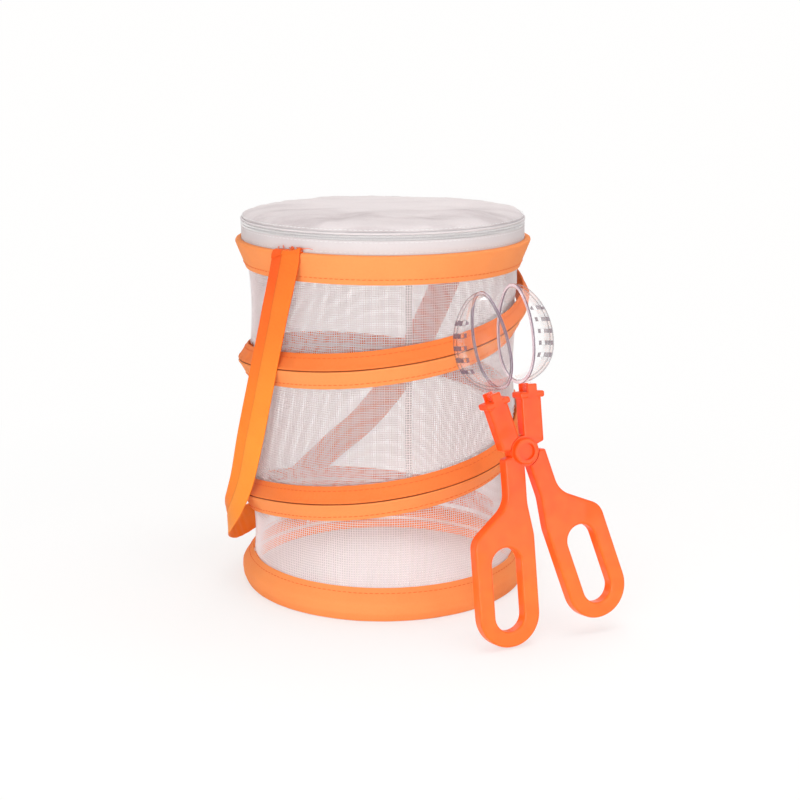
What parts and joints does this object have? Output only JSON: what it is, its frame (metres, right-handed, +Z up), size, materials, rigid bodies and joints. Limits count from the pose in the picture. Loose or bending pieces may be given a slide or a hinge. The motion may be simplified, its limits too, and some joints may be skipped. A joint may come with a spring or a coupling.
{
  "type": "pop-up insect cage with tongs",
  "caption": "Collapsible mesh insect cage with a spiral spring wall, zipped lid and shoulder strap, with a pair of scoop-ended catching tongs leaning beside it.",
  "frame": {"origin": "centre of the cage's round base, on the surface it stands on", "axes": "+Z up along the cage's axis, -Y the front that the picture shows, +X to the right"},
  "size_m": [0.1986, 0.1874, 0.1954],
  "materials": {
    "orange_fabric": "woven",
    "orange_ribbon": "satin",
    "white_fabric": "woven",
    "white_mesh": "open mesh",
    "lid_fabric": "satin",
    "white_coil": "moulded",
    "white_enamel": "gloss",
    "spring_steel": "drawn wire",
    "orange_plastic": "moulded",
    "clear_plastic": "clear moulded"
  },
  "bodies": {
    "root": {"base_floor": "white_fabric", "base_band": "orange_fabric", "base_hoop": "spring_steel", "wall_mesh": "white_mesh", "side_seam_tape": "white_fabric", "spiral_wire": "spring_steel", "spiral_sleeve": "orange_fabric", "carry_strap": "orange_ribbon", "tong_lever_right": "orange_plastic", "tong_pivot_pin": "orange_plastic", "tong_scoop_right": "clear_plastic"},
    "rim": {"rim_band": "orange_fabric", "rim_hoop": "spring_steel", "lid_gusset": "white_fabric", "zip_tape_lower": "white_fabric", "zip_coil_lower": "white_coil", "lid_hinge_tape": "white_fabric", "zip_end_stops": "white_coil"},
    "lid": {"zip_coil_upper": "white_coil", "zip_tape_upper": "white_fabric", "lid_piping": "white_fabric", "lid_panel": "lid_fabric"},
    "slider": {"zip_slider": "white_enamel"},
    "pull": {"zip_pull": "white_enamel"},
    "left_tong": {"tong_lever_left": "orange_plastic", "tong_scoop_left": "clear_plastic"}
  },
  "joints": [
    {"name": "cage_collapse", "type": "slide", "parent": "root", "child": "rim", "axis": [0, 0, 1], "range_m": [-0.14, 0], "stiffness_N_per_m": 20, "springref_m": 0.09, "deforming": ["wall_mesh", "side_seam_tape", "spiral_wire", "spiral_sleeve", "carry_strap"]},
    {"name": "lid_hinge", "type": "hinge", "parent": "rim", "child": "lid", "pos_m": [0, 0.0722, 0.18815], "axis": [-1, 0, 0], "range_deg": [0, 105]},
    {"name": "zip_travel", "type": "hinge", "parent": "rim", "child": "slider", "pos_m": [0, 0, 0.18815], "axis": [0, 0, 1], "range_deg": [0, 300]},
    {"name": "pull_swing", "type": "hinge", "parent": "slider", "child": "pull", "pos_m": [-0.03857, 0.06681, 0.1872], "axis": [0.866, 0.5, 0], "range_deg": [0, 95]},
    {"name": "tongs_pivot", "type": "hinge", "parent": "root", "child": "left_tong", "pos_m": [0.06568, -0.0831, 0.08994], "axis": [0.4, -0.8985, 0.1805], "range_deg": [-9.5, 15]}
  ]
}
